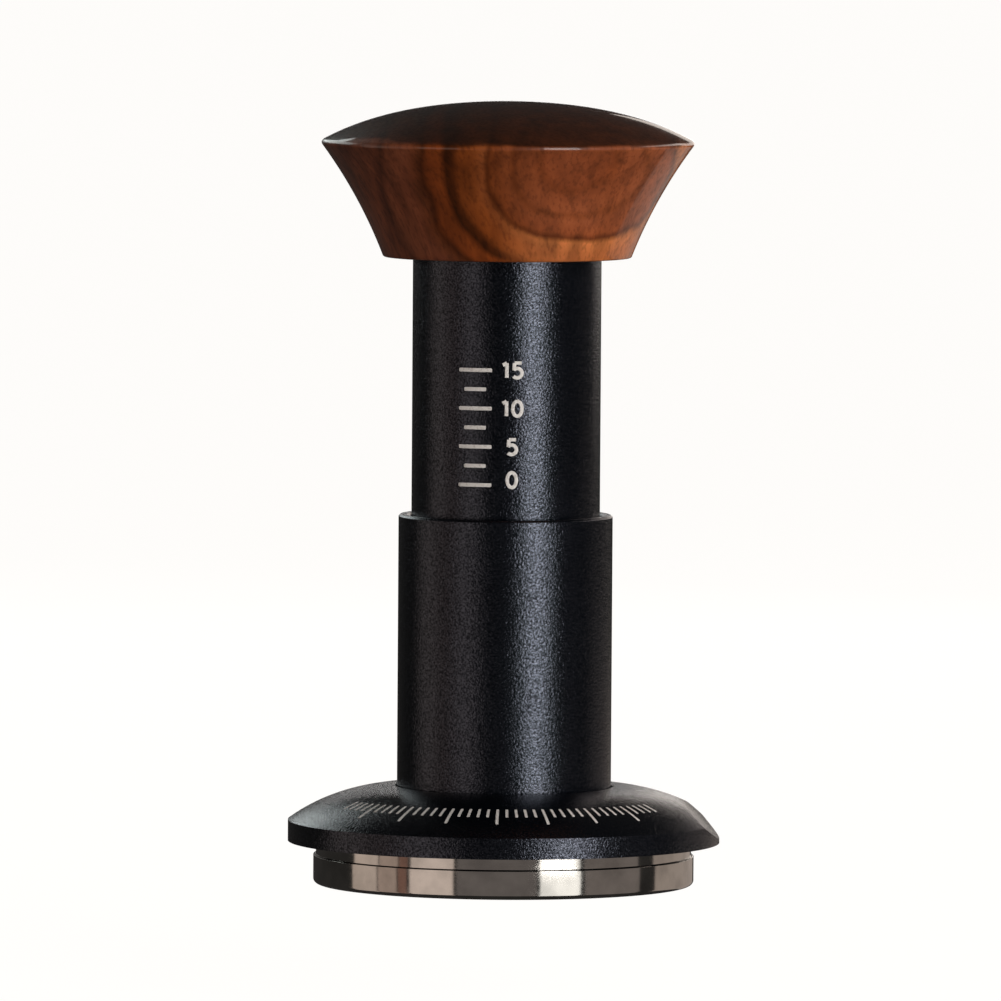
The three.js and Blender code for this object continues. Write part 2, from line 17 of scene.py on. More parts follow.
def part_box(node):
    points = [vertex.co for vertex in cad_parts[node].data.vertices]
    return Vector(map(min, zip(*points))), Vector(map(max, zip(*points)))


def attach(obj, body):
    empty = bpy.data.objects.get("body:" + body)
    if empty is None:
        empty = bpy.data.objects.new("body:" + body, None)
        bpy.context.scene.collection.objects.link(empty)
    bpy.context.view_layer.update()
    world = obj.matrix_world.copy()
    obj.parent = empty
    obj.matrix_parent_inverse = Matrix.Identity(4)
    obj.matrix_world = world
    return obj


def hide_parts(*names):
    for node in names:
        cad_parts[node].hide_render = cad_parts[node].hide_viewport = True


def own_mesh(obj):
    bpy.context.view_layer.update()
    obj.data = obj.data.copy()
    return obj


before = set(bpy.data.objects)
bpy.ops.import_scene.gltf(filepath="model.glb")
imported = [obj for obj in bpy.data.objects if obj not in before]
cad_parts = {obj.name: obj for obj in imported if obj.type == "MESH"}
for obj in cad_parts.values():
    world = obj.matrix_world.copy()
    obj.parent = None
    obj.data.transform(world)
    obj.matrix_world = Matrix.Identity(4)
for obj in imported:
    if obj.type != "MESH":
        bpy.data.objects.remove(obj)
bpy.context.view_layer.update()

mm = 0.001

# %% [markdown]
# ## Sizes taken from the frame
# Every outline below starts from the box of the frame's own solid, so a shell can't drift
# away from the part that it stands for. A turned part's outer radius is its box's highest X,
# and the skirt's is its lowest X, because a flat is cut on its right.

# %% Levels and radii
knob_bottom, knob_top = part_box("knob")[0][2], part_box("knob")[1][2]
knob_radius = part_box("knob")[1][0]
tube_bottom, tube_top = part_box("upper_tube")[0][2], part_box("upper_tube")[1][2]
tube_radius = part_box("upper_tube")[1][0]
sleeve_bottom, sleeve_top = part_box("lower_sleeve")[0][2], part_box("lower_sleeve")[1][2]
sleeve_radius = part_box("lower_sleeve")[1][0]
skirt_bottom, skirt_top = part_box("levelling_skirt")[0][2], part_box("levelling_skirt")[1][2]
skirt_radius = -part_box("levelling_skirt")[0][0]
base_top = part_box("tamping_base")[1][2]
base_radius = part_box("tamping_base")[1][0]
insert_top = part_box("knob_insert")[1][2]
insert_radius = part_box("knob_insert")[1][0]
gap = 0.3 * mm
print(f"knob {knob_radius:.5f}, tube {tube_radius:.5f}, sleeve {sleeve_radius:.5f}")
print(f"skirt {skirt_radius:.5f}, base {base_radius:.5f}")

# %% [markdown]
# ## The camera
# The tamper is seen from about two metres, a little above its knob, through a long lens, so
# its round edges are only just open. Setting the lens from the width of the view keeps the
# framing right whatever the distance. The small roll tilts the whole picture a little to
# one side, as a tripod head that isn't quite level does.

# %% Make the camera
camera_distance = 2.0
camera_height = 0.180
view_width = 0.1533
aim = Vector((-0.0008, 0, 0.0588))
camera_roll = math.radians(0.37)

camera_data = bpy.data.cameras.new("camera")
camera = bpy.data.objects.new("camera", camera_data)
bpy.context.scene.collection.objects.link(camera)
camera.location = Vector((aim.x, -camera_distance, camera_height))
look = (aim - camera.location).normalized()
upright = look.to_track_quat("-Z", "Y").to_matrix()
camera.rotation_euler = (upright @ Matrix.Rotation(camera_roll, 3, "Z")).to_euler()
camera_data.lens = camera_data.sensor_width * (aim - camera.location).length / view_width
camera_data.clip_end = 100
bpy.context.scene.camera = camera
print(f"lens {camera_data.lens:.0f} mm")

# %% [markdown]
# ## The studio
# A plain pale floor runs back to where it fills the whole view. It glows, so that it stays
# near white, as a floor under bright soft light does. Mirror reflections pass through it,
# because polished steel this close to a white floor would show nothing else. It lies just
# below the lowest point of the base's stroke, so that it never hides the base.

# %% Make the floor
base_stroke = 17.5 * mm
floor_level = -base_stroke - 1 * mm
studio_white = (1, 0.985, 0.965, 1)
studio_glow = 0.985


def lay_floor():
    shape = bmesh.new()
    bmesh.ops.create_grid(
        shape, x_segments=1, y_segments=1, size=20,
        matrix=Matrix.Translation((0, 0, floor_level)))
    data = bpy.data.meshes.new("floor")
    shape.to_mesh(data)
    shape.free()
    floor = bpy.data.objects.new("floor", data)
    bpy.context.scene.collection.objects.link(floor)
    paint = bpy.data.materials.new("pale_floor")
    paint.use_nodes = True
    surface = paint.node_tree.nodes["Principled BSDF"]
    surface.inputs["Base Color"].default_value = (0.10, 0.10, 0.10, 1)
    surface.inputs["Roughness"].default_value = 0.9
    surface.inputs["Specular IOR Level"].default_value = 0
    surface.inputs["Emission Color"].default_value = studio_white
    surface.inputs["Emission Strength"].default_value = studio_glow
    data.materials.append(paint)
    floor.visible_glossy = False
    floor.visible_diffuse = False
    return floor


floor = lay_floor()

# %% [markdown]
# ## The lights
# The highlights on a cylinder say where the lights stand: a normal turned by an angle shows
# what lies at twice that angle from the camera. The tall soft box stands to the right of the
# camera, and a warm wall of light runs along the left with a narrow dark post in it. One
# wide panel doesn't show in anything glossy, so it lights the wood and leaves the coat black.

# %% Place the lights
lamp_distance = 0.9


def soft_box(name, azimuths, heights, brightness, colour):
    """An upright panel of light that faces the tamper's axis.

    Azimuths are in degrees: 0 is at the camera and 90 on the right. Brightness is the
    panel's radiance, which a lamp of a given size gets from its power.
    """
    first, last = azimuths
    low, high = heights
    data = bpy.data.lights.new(name, "AREA")
    data.shape = "RECTANGLE"
    data.size = 2 * lamp_distance * math.tan(math.radians(last - first) / 2)
    data.size_y = high - low
    data.color = colour
    data.energy = brightness * math.pi * data.size * data.size_y
    lamp = bpy.data.objects.new(name, data)
    bpy.context.scene.collection.objects.link(lamp)
    middle = math.radians((first + last) / 2)
    outward = Vector((math.sin(middle), -math.cos(middle), 0))
    lamp.location = outward * lamp_distance + Vector((0, 0, (low + high) / 2))
    lamp.rotation_euler = outward.to_track_quat("Z", "Y").to_euler()
    lamp.visible_camera = False
    return lamp


table_line = -0.055
lamp_foot = -0.4
soft_box("key", (22, 45), (table_line, 0.0), 14, (1, 0.975, 0.95))
soft_box("key_upper", (22, 45), (0.0, 0.10), 4.6, (1, 0.975, 0.95))
soft_box("key_top", (22, 45), (0.10, 0.60), 5, (1, 0.985, 0.97))
soft_box("key_on_table", (22, 47), (lamp_foot, table_line), 1.45, (1, 1, 0.97))
soft_box("left_near", (-58, -30), (lamp_foot, 0.3), 0.74, (1, 0.84, 0.75))
soft_box("left_post", (-66, -60), (lamp_foot, 0.3), 0.20, (1, 0.50, 0.36))
soft_box("left_dim", (-81, -67), (lamp_foot, 0.3), 0.40, (1, 0.76, 0.64))
soft_box("left_far", (-103, -82), (lamp_foot, 0.3), 0.58, (1, 0.82, 0.71))
soft_box("front_table", (-28, 20), (lamp_foot, table_line), 0.14, (1, 0.88, 0.84))
soft_box("right_wall", (50, 90), (lamp_foot, table_line), 0.18, (1, 0.86, 0.80))
soft_box("right_table", (104, 165), (lamp_foot, table_line), 0.36, (1, 0.84, 0.74))
soft_box("back_right", (135, 176), (0.07, 0.30), 1.2, (1, 0.90, 0.82))
soft_box("back_left", (-168, -140), (0.10, 0.30), 0.35, (1, 0.98, 0.96))
soft_box("back_low", (172, 188), (0.10, 0.16), 1.6, (1, 0.97, 0.95))
soft_box("rim_right", (95, 150), (0.30, 0.60), 2.2, (1, 0.86, 0.78))
soft_box("rim_left", (-165, -115), (0.20, 0.60), 1.8, (0.92, 1, 0.97))
wood_fill = soft_box("wood_fill", (25, 105), (table_line, 0.25), 3.1, (1, 0.97, 0.93))
wood_fill.visible_glossy = False

# %% [markdown]
# The world only fills the gaps between the lamps, so it is dim. A camera ray that misses
# everything sees the same near white as the floor, so the floor's far edge hardly shows.

# %% Fill the world
def fill_world():
    world = bpy.data.worlds.new("studio")
    world.use_nodes = True
    tree = world.node_tree
    room = tree.nodes["Background"]
    room.inputs["Color"].default_value = (1, 0.95, 0.91, 1)
    room.inputs["Strength"].default_value = 0.03
    backdrop = tree.nodes.new("ShaderNodeBackground")
    backdrop.inputs["Color"].default_value = studio_white
    backdrop.inputs["Strength"].default_value = studio_glow
    seen = tree.nodes.new("ShaderNodeLightPath")
    mix = tree.nodes.new("ShaderNodeMixShader")
    tree.links.new(seen.outputs["Is Camera Ray"], mix.inputs["Fac"])
    tree.links.new(room.outputs["Background"], mix.inputs[1])
    tree.links.new(backdrop.outputs["Background"], mix.inputs[2])
    tree.links.new(mix.outputs["Shader"], tree.nodes["World Output"].inputs["Surface"])
    bpy.context.scene.world = world
    bpy.context.scene.view_settings.view_transform = "Standard"


fill_world()

# %% [markdown]
# ## Helpers for shaping
# Nearly every piece here was made on a lathe. `turned` does the same: it draws half the
# section as a wire, spins it once round with `bmesh.ops.spin`, and merges the seam. The spin
# can leave the faces inside out, so their normals are recalculated at the end.

# %% Turned pieces
broken_edge = 0.15 * mm


def arc(centre, radius, start_degrees, end_degrees, steps):
    """Points of an arc in a half-section, as (radius from the axis, height)."""
    points = []
    for step in range(steps + 1):
        degrees = start_degrees + (end_degrees - start_degrees) * step / steps
        angle = math.radians(degrees)
        points.append((centre[0] + radius * math.cos(angle),
                       centre[1] + radius * math.sin(angle)))
    return points


def level_arc(rim_radius, inner_radius, rim_height, rise, steps):
    """An arc that rises inward from a rim, and is level where it ends."""
    width = rim_radius - inner_radius
    radius = (width ** 2 + rise ** 2) / (2 * rise)
    spread = math.degrees(math.asin(width / radius))
    centre = (inner_radius, rim_height + rise - radius)
    return arc(centre, radius, 90 - spread, 90, steps)


def make_object(name, shape):
    data = bpy.data.meshes.new(name)
    shape.to_mesh(data)
    shape.free()
    piece = bpy.data.objects.new(name, data)
    bpy.context.scene.collection.objects.link(piece)
    return piece


def spin_outline(outline, closed, segments):
    """A bmesh of the outline turned once round the Z axis."""
    shape = bmesh.new()
    corners = [shape.verts.new((radius, 0, height)) for radius, height in outline]
    wires = [shape.edges.new(pair) for pair in zip(corners, corners[1:])]
    if closed:
        wires.append(shape.edges.new((corners[-1], corners[0])))
    bmesh.ops.spin(
        shape, geom=corners + wires, cent=(0, 0, 0), axis=(0, 0, 1),
        angle=math.tau, steps=segments, use_merge=True)
    bmesh.ops.remove_doubles(shape, verts=shape.verts, dist=0.0005 * mm)
    bmesh.ops.recalc_face_normals(shape, faces=shape.faces)
    return shape


def finish_shading(piece, sharp_degrees=32):
    for face in piece.data.polygons:
        face.use_smooth = True
    piece.data.set_sharp_from_angle(angle=math.radians(sharp_degrees))


def break_edges(piece, width, segments, least_degrees):
    """Gives the piece's sharp edges a small bevel that catches the light."""
    bevel = piece.modifiers.new("broken_edges", "BEVEL")
    bevel.width = width
    bevel.segments = segments
    bevel.limit_method = "ANGLE"
    bevel.angle_limit = math.radians(least_degrees)
    bevel.harden_normals = True


def turned(name, outline, closed=True, segments=160, edge=broken_edge):
    """A turned piece with its sharp corners broken."""
    piece = make_object(name, spin_outline(outline, closed, segments))
    finish_shading(piece)
    if edge:
        break_edges(piece, edge, 2, 40)
    print(f"{name}: {len(piece.data.polygons)} faces")
    return piece


# %% [markdown]
# Holes that aren't on the axis are drilled the same way as in a workshop: a turned cutter of
# the hole's own shape is set in its place and subtracted with an exact boolean, which is
# applied at once so that no cutter is left in the scene.

# %% Drill holes
def drill(piece, outline, places, segments=32):
    """Subtracts a turned cutter from the piece, once at each place and turn."""
    cutters = []
    for place in places:
        shape = spin_outline(outline, False, segments)
        bmesh.ops.transform(shape, matrix=place, verts=shape.verts)
        cutters.append(make_object("cutter", shape))
        hole = piece.modifiers.new("hole", "BOOLEAN")
        hole.operation = "DIFFERENCE"
        hole.solver = "EXACT"
        hole.object = cutters[-1]
    bpy.context.view_layer.update()
    evaluated = piece.evaluated_get(bpy.context.evaluated_depsgraph_get())
    drilled = bpy.data.meshes.new_from_object(evaluated)
    piece.modifiers.clear()
    piece.data = drilled
    for cutter in cutters:
        bpy.data.objects.remove(cutter)
    print(f"{piece.name}: {len(places)} holes, {len(drilled.polygons)} faces")


# %% [markdown]
# ## Helpers for finishes
# Each finish is a small chain of nodes on Object coordinates, in metres. These helpers only
# shorten the wiring: `paint` starts a material, and the others add one node each.

# %% Node helpers
def paint(name):
    """A new material, its node tree, its main shader and its Object coordinates."""
    material = bpy.data.materials.new(name)
    material.use_nodes = True
    tree = material.node_tree
    place = tree.nodes.new("ShaderNodeTexCoord").outputs["Object"]
    return material, tree, tree.nodes["Principled BSDF"], place


def stretched(tree, place, scale):
    node = tree.nodes.new("ShaderNodeMapping")
    node.inputs["Scale"].default_value = scale
    tree.links.new(place, node.inputs["Vector"])
    return node.outputs["Vector"]


def noise(tree, place, scale, detail=2, roughness=0.5):
    node = tree.nodes.new("ShaderNodeTexNoise")
    node.inputs["Scale"].default_value = scale
    node.inputs["Detail"].default_value = detail
    node.inputs["Roughness"].default_value = roughness
    tree.links.new(place, node.inputs["Vector"])
    return node.outputs["Fac"]


def ramp(tree, value, stops):
    """A colour ramp. Stops are (position, colour), and a plain number is a grey."""
    node = tree.nodes.new("ShaderNodeValToRGB")
    stripes = node.color_ramp.elements
    while len(stripes) < len(stops):
        stripes.new(0.5)
    for stripe, (position, colour) in zip(stripes, stops):
        stripe.position = position
        if isinstance(colour, (int, float)):
            colour = (colour, colour, colour)
        stripe.color = (*colour, 1)
    tree.links.new(value, node.inputs["Fac"])
    return node.outputs["Color"]


def maths(tree, operation, first, second):
    node = tree.nodes.new("ShaderNodeMath")
    node.operation = operation
    for socket, value in zip(node.inputs, (first, second)):
        if isinstance(value, (int, float)):
            socket.default_value = value
        else:
            tree.links.new(value, socket)
    return node.outputs["Value"]


def blend_colours(tree, share, first, second, mode="MIX"):
    node = tree.nodes.new("ShaderNodeMix")
    node.data_type = "RGBA"
    node.blend_type = mode
    sockets = {"Factor": share, "A": first, "B": second}
    for socket in node.inputs:
        if not socket.enabled or socket.name not in sockets:
            continue
        value = sockets[socket.name]
        if isinstance(value, (int, float)):
            socket.default_value = value
        elif isinstance(value, tuple):
            socket.default_value = (*value, 1)
        else:
            tree.links.new(value, socket)
    return next(out for out in node.outputs if out.enabled)


def fade(tree, value, start, end, most=1.0):
    """Rises smoothly from 0 to its most as the value goes from start to end."""
    node = tree.nodes.new("ShaderNodeMapRange")
    node.interpolation_type = "SMOOTHSTEP"
    node.inputs["From Min"].default_value = start
    node.inputs["From Max"].default_value = end
    node.inputs["To Max"].default_value = most
    tree.links.new(value, node.inputs["Value"])
    return node.outputs["Result"]


def bump(tree, shader, height, strength, distance):
    node = tree.nodes.new("ShaderNodeBump")
    node.inputs["Strength"].default_value = strength
    node.inputs["Distance"].default_value = distance
    tree.links.new(height, node.inputs["Height"])
    tree.links.new(node.outputs["Normal"], shader.inputs["Normal"])


# %% [markdown]
# ## The walnut of the knob
# The knob is turned from a block whose pith runs from front to back, close to the right of
# its rim. The growth rings show as nested hollows below the pith, and as steep dark streaks
# on the left. A Mapping node of the Texture kind moves the origin to the pith, turns it and
# stretches it, so that the length of what comes out is the ring's radius. Two noises bend
# the rings first, as real growth does. One ramp colours the rings of the paler right side
# and one those of the darker left. Above the rim, the dome's top is painted a dark brown.
# This is painted shade, standing in for the shade on the knob's top.

# %% Mix the walnut
pith_place = (10.8 * mm, 0, knob_bottom + 16.0 * mm)
pith_lean = math.radians(-11)
figure_reach = 40 * mm
broad_bend = (45, 5 * mm)
fine_bend = (160, 1.1 * mm)
ring_flattening = 0.87
ring_run, streak_run, fibre_run = 12, 9, 8
sapwood_start, sapwood_end = -3 * mm, 7 * mm
wood_depth = (2.7, 2.35, 1.6)
# Painted shade: above this line the dome's colour fades to dark brown tones that stand in for
# the shade on the knob's top.
dome_shade_line = knob_bottom + 17.6 * mm
dome_shade_fade = 0.7 * mm
dome_shade_share = 0.86
dome_shade_tones = [(0.3, (0.024, 0.006, 0.001)), (0.7, (0.050, 0.013, 0.003))]


def bend(tree, place, scale, amount):
    """Pushes the coordinates about by a soft noise, up to half the amount each way."""
    wander = tree.nodes.new("ShaderNodeTexNoise")
    wander.inputs["Scale"].default_value = scale
    wander.inputs["Detail"].default_value = 2
    tree.links.new(place, wander.inputs["Vector"])
    centred = tree.nodes.new("ShaderNodeVectorMath")
    centred.operation = "SUBTRACT"
    centred.inputs[1].default_value = (0.5, 0.5, 0.5)
    tree.links.new(wander.outputs["Color"], centred.inputs[0])
    bent = tree.nodes.new("ShaderNodeVectorMath")
    bent.operation = "MULTIPLY_ADD"
    bent.inputs[1].default_value = (amount, amount, amount)
    tree.links.new(centred.outputs["Vector"], bent.inputs[0])
    tree.links.new(place, bent.inputs[2])
    return bent.outputs["Vector"]


def from_pith(tree, place, stretch):
    node = tree.nodes.new("ShaderNodeMapping")
    node.vector_type = "TEXTURE"
    node.inputs["Location"].default_value = pith_place
    node.inputs["Rotation"].default_value = (0, pith_lean, 0)
    node.inputs["Scale"].default_value = stretch
    tree.links.new(place, node.inputs["Vector"])
    return node.outputs["Vector"]


sap_side_rings = {
    0: (0.170, 0.046, 0.019),
    4.4: (0.165, 0.044, 0.018),
    5.2: (0.145, 0.038, 0.014),
    6.2: (0.175, 0.048, 0.020),
    8.6: (0.185, 0.052, 0.022),
    9.3: (0.150, 0.041, 0.015),
    10.2: (0.205, 0.058, 0.025),
    12.0: (0.190, 0.051, 0.020),
    12.7: (0.095, 0.024, 0.008),
    13.4: (0.350, 0.120, 0.044),
    14.8: (0.290, 0.092, 0.034),
    17.0: (0.300, 0.096, 0.034),
    17.8: (0.250, 0.072, 0.024),
    19.0: (0.340, 0.105, 0.035),
    24.0: (0.260, 0.078, 0.026),
    36.0: (0.180, 0.055, 0.022),
}
heart_side_rings = {
    0: (0.150, 0.040, 0.014),
    8.0: (0.140, 0.036, 0.011),
    9.0: (0.085, 0.021, 0.006),
    10.0: (0.155, 0.041, 0.014),
    12.2: (0.150, 0.038, 0.011),
    12.9: (0.075, 0.018, 0.004),
    13.6: (0.185, 0.052, 0.017),
    15.0: (0.175, 0.045, 0.011),
    16.6: (0.150, 0.037, 0.008),
    17.3: (0.062, 0.015, 0.003),
    18.1: (0.045, 0.011, 0.002),
    18.9: (0.190, 0.044, 0.010),
    20.2: (0.165, 0.038, 0.009),
    20.9: (0.065, 0.016, 0.004),
    21.7: (0.130, 0.037, 0.015),
    23.0: (0.190, 0.058, 0.031),
    25.4: (0.205, 0.066, 0.036),
    26.2: (0.105, 0.033, 0.018),
    27.5: (0.200, 0.064, 0.036),
    31.0: (0.150, 0.049, 0.027),
    36.0: (0.150, 0.050, 0.028),
}


def ring_ramp(tree, share, rings):
    stops = [(radius * mm / figure_reach, colour) for radius, colour in rings.items()]
    return ramp(tree, share, stops)


def walnut():
    material, tree, shader, place = paint("oiled_walnut")
    bent = bend(tree, bend(tree, place, *broad_bend), *fine_bend)
    reach = tree.nodes.new("ShaderNodeVectorMath")
    reach.operation = "LENGTH"
    rings = from_pith(tree, bent, (1 / ring_flattening, ring_run, 1))
    tree.links.new(rings, reach.inputs[0])
    share = maths(tree, "DIVIDE", reach.outputs["Value"], figure_reach)
    across = tree.nodes.new("ShaderNodeSeparateXYZ")
    tree.links.new(bent, across.inputs[0])
    sapwood = fade(tree, across.outputs["X"], sapwood_start, sapwood_end)
    figure = blend_colours(
        tree, sapwood,
        ring_ramp(tree, share, heart_side_rings), ring_ramp(tree, share, sap_side_rings))

    streaks = noise(tree, from_pith(tree, bent, (1, 1, streak_run)), 420, detail=3)
    figure = blend_colours(
        tree, 1.0, figure, ramp(tree, streaks, [(0.34, 0.68), (0.66, 1.20)]), "MULTIPLY")
    cloud = noise(tree, place, 70, detail=2)
    figure = blend_colours(
        tree, 1.0, figure, ramp(tree, cloud, [(0.30, 0.82), (0.70, 1.12)]), "MULTIPLY")
    warmth = ramp(tree, cloud, [(0, wood_depth), (1, 1.0)])
    warm = blend_colours(tree, 1.0, figure, warmth, "MULTIPLY")
    # Painted shade: the dome's top is blended towards dark brown tones, in place of the shade
    # that falls on it.
    wear_and_dome_shade = fade(
        tree, across.outputs["Z"], dome_shade_line, dome_shade_line + dome_shade_fade, dome_shade_share)
    figure = blend_colours(tree, wear_and_dome_shade, warm, ramp(tree, streaks, dome_shade_tones))
    fibres = noise(tree, from_pith(tree, place, (1, 1, fibre_run)), 1900, detail=2)
    figure = blend_colours(
        tree, 0.5, figure, ramp(tree, fibres, [(0.34, 0.45), (0.50, 1.0)]), "MULTIPLY")
    tree.links.new(figure, shader.inputs["Base Color"])
    tree.links.new(ramp(tree, fibres, [(0.3, 0.46), (0.7, 0.36)]), shader.inputs["Roughness"])
    shader.inputs["Specular IOR Level"].default_value = 0.25
    shader.inputs["Coat Weight"].default_value = 0.7
    shader.inputs["Coat Roughness"].default_value = 0.07
    bump(tree, shader, fibres, 0.16, 0.04 * mm)
    return material


walnut_finish = walnut()

# %% [markdown]
# ## The black coat
# The tube, the sleeve and the skirt carry a powder coat: nearly black, and orange-peeled so
# finely that a soft light breaks up into glitter on it. Two noises make the peel, one at a
# third of a millimetre and one finer, and the same noise varies the roughness. Pores that
# don't shine are scattered between them.

# %% Mix the powder coat
def powder_coat():
    material, tree, shader, place = paint("black_powder_coat")
    peel = noise(tree, place, 3300, detail=1)
    fine = noise(tree, place, 9000, detail=1)
    grain = maths(tree, "ADD", peel, maths(tree, "MULTIPLY", fine, 0.2))
    wear_and_dome_shade = noise(tree, place, 60, detail=3)
    dark, dusty = (0.0008, 0.0014, 0.0024), (0.0018, 0.0026, 0.0042)
    tree.links.new(ramp(tree, wear_and_dome_shade, [(0.3, dark), (0.7, dusty)]), shader.inputs["Base Color"])
    tree.links.new(ramp(tree, peel, [(0.3, 0.15), (0.7, 0.27)]), shader.inputs["Roughness"])
    pores = ramp(tree, noise(tree, place, 3600, detail=2), [(0.36, 0.2), (0.62, 1.0)])
    tree.links.new(pores, shader.inputs["Specular IOR Level"])
    shader.inputs["Specular Tint"].default_value = (0.76, 0.82, 1.0, 1)
    bump(tree, shader, grain, 0.7, 0.085 * mm)
    return material


coat_finish = powder_coat()

# %% [markdown]
# ## Metals
# The base is polished almost to a mirror, with faint circles left by the lathe. The metals
# inside share one recipe with their own colour, roughness and depth of tool marks, because
# they come off the same machines. The marks are noise that is stretched along each turn:
# squeezed hard along Z, it reads as fine rings round the part.

# %% Mix the metals
def machined(name, colour, rough, marks, depth):
    material, tree, shader, place = paint(name)
    turning = noise(tree, stretched(tree, place, (60, 60, marks)), 1.0, detail=3, roughness=0.65)
    smear = noise(tree, place, 220, detail=3)
    worn = tuple(channel * 0.72 for channel in colour)
    tone = ramp(tree, smear, [(0.3, worn), (0.62, colour)])
    tree.links.new(tone, shader.inputs["Base Color"])
    spread = maths(tree, "ADD", turning, maths(tree, "MULTIPLY", smear, 0.5))
    tree.links.new(ramp(tree, spread, [(0.4, rough * 0.7), (1.0, rough * 1.35)]),
                   shader.inputs["Roughness"])
    shader.inputs["Metallic"].default_value = 1
    bump(tree, shader, turning, 0.35, depth)
    return material


base_finish = machined("polished_steel", (0.62, 0.59, 0.55), 0.085, 1400, 0.002 * mm)
shaft_finish = machined("turned_steel", (0.42, 0.42, 0.41), 0.26, 4000, 0.008 * mm)
hard_finish = machined("hardened_steel", (0.13, 0.13, 0.14), 0.36, 2600, 0.010 * mm)
spring_finish = machined("spring_wire", (0.30, 0.31, 0.33), 0.30, 900, 0.006 * mm)
screw_finish = machined("black_oxide", (0.022, 0.022, 0.024), 0.42, 3000, 0.010 * mm)
bronze_finish = machined("bush_bronze", (0.44, 0.24, 0.075), 0.34, 3200, 0.010 * mm)
brass_finish = machined("insert_brass", (0.62, 0.40, 0.10), 0.28, 3200, 0.010 * mm)

# %% [markdown]
# ## Plastic and ink
# The guide rings are moulded in a slippery off-white plastic with a faint mould texture. The
# scale is screen-printed in warm white ink, slightly uneven where it covers the coat.

# %% Mix the plastic and the ink
def guide_plastic():
    material, tree, shader, place = paint("guide_plastic")
    cloud = noise(tree, place, 300, detail=3)
    tree.links.new(ramp(tree, cloud, [(0.3, (0.62, 0.60, 0.52)), (0.7, (0.78, 0.76, 0.68))]),
                   shader.inputs["Base Color"])
    tree.links.new(ramp(tree, cloud, [(0.3, 0.48), (0.7, 0.60)]), shader.inputs["Roughness"])
    bump(tree, shader, noise(tree, place, 3000, detail=2), 0.2, 0.03 * mm)
    return material


def printed_ink():
    material, tree, shader, place = paint("printed_ink")
    cover = noise(tree, place, 2200, detail=3)
    tree.links.new(ramp(tree, cover, [(0.25, (0.62, 0.57, 0.53)), (0.5, (0.90, 0.86, 0.82))]),
                   shader.inputs["Base Color"])
    tree.links.new(ramp(tree, cover, [(0.3, 0.62), (0.7, 0.5)]), shader.inputs["Roughness"])
    bump(tree, shader, cover, 0.25, 0.02 * mm)
    return material


plastic_finish = guide_plastic()
ink_finish = printed_ink()

# %% [markdown]
# ## The knob
# The knob flares from a narrow foot to a crisp rim, and its crown is a low dome that fits
# the palm. The flare is a hollow curve, so it is drawn as a straight line with a little sag.
# Underneath, it is bored for the tube and for the brass insert.

# %% Turn the knob
rim_height = knob_bottom + 17.5 * mm
knob_foot_radius = tube_radius + 4.715 * mm
flare_hollow = 0.57 * mm
rim_round = 0.65 * mm
foot_round = 0.5 * mm
bore_radius = tube_radius + gap
bore_top = tube_top + gap
gentle_share, steep_share = 0.72, 0.28


def hollow_line(start, end, depth, steps):
    points = []
    for step in range(steps + 1):
        share = step / steps
        sag = 4 * depth * share * (1 - share)
        points.append((start[0] + (end[0] - start[0]) * share - sag,
                       start[1] + (end[1] - start[1]) * share + sag / 2))
    return points


def dome_outline(rim, steps):
    """From the rim in to the axis. The dome falls off slowly at first and faster outside."""
    points = []
    for step in range(steps + 1):
        share = 1 - step / steps
        fall = gentle_share * share ** 2 + steep_share * share ** 4
        drop = (knob_top - rim[1]) * fall
        points.append((rim[0] * share, knob_top - drop))
    return points


def knob_outline():
    foot_middle = (knob_foot_radius - foot_round, knob_bottom + foot_round)
    foot = arc(foot_middle, foot_round, -90, -35, 5)
    rim = arc((knob_radius - rim_round, rim_height), rim_round, -37, 62, 9)
    return [
        (bore_radius, knob_bottom),
        *foot,
        *hollow_line(foot[-1], rim[0], flare_hollow, 24)[1:-1],
        *rim,
        *dome_outline(rim[-1], 28)[1:],
        (0, insert_top + gap),
        (insert_radius + gap, insert_top + gap),
        (insert_radius + gap, bore_top),
        (bore_radius, bore_top),
        (bore_radius, knob_bottom),
    ]


knob = turned("wooden_knob", knob_outline(), closed=False, segments=192, edge=0)
knob.data.materials.append(walnut_finish)
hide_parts("knob")
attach(knob, "handle")

# %% [markdown]
# ## The handle tube
# A plain drawn tube with broken edges and a groove for its guide ring near the lower end.

# %% Turn the tube
tube_wall = 2 * mm
tube_bore = tube_radius - tube_wall
edge_chamfer = 0.3 * mm
guide_bottom, guide_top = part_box("lower_guide_ring")[0][2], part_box("lower_guide_ring")[1][2]
guide_ring_wall = 0.9 * mm
groove_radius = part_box("lower_guide_ring")[1][0] - guide_ring_wall - gap

tube = turned("handle_tube", [
    (tube_bore, tube_bottom),
    (tube_radius - edge_chamfer, tube_bottom),
    (tube_radius, tube_bottom + edge_chamfer),
    (tube_radius, guide_bottom - gap),
    (groove_radius, guide_bottom - gap),
    (groove_radius, guide_top + gap),
    (tube_radius, guide_top + gap),
    (tube_radius, tube_top - edge_chamfer),
    (tube_radius - edge_chamfer, tube_top),
    (tube_bore, tube_top),
])
tube.data.materials.append(coat_finish)
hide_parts("upper_tube")
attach(tube, "handle")

# %% [markdown]
# ## The scale on the tube
# The scale shows how far the handle has gone into the sleeve: its zero meets the sleeve's
# mouth when the trip fires on an empty basket. Each mark is a strip of ink a few hundredths
# of a millimetre thick, made flat and then wrapped round the tube.

# %% Print the scale
ink_height = 0.03 * mm
scale_zero = sleeve_top + 5.28 * mm
scale_step = 17.5 * mm / 6
mark_azimuth = math.radians(-19.3)
number_azimuth = math.radians(3.55)
long_mark = 5.3 * mm
short_mark = 3.5 * mm
mark_width = 0.58 * mm


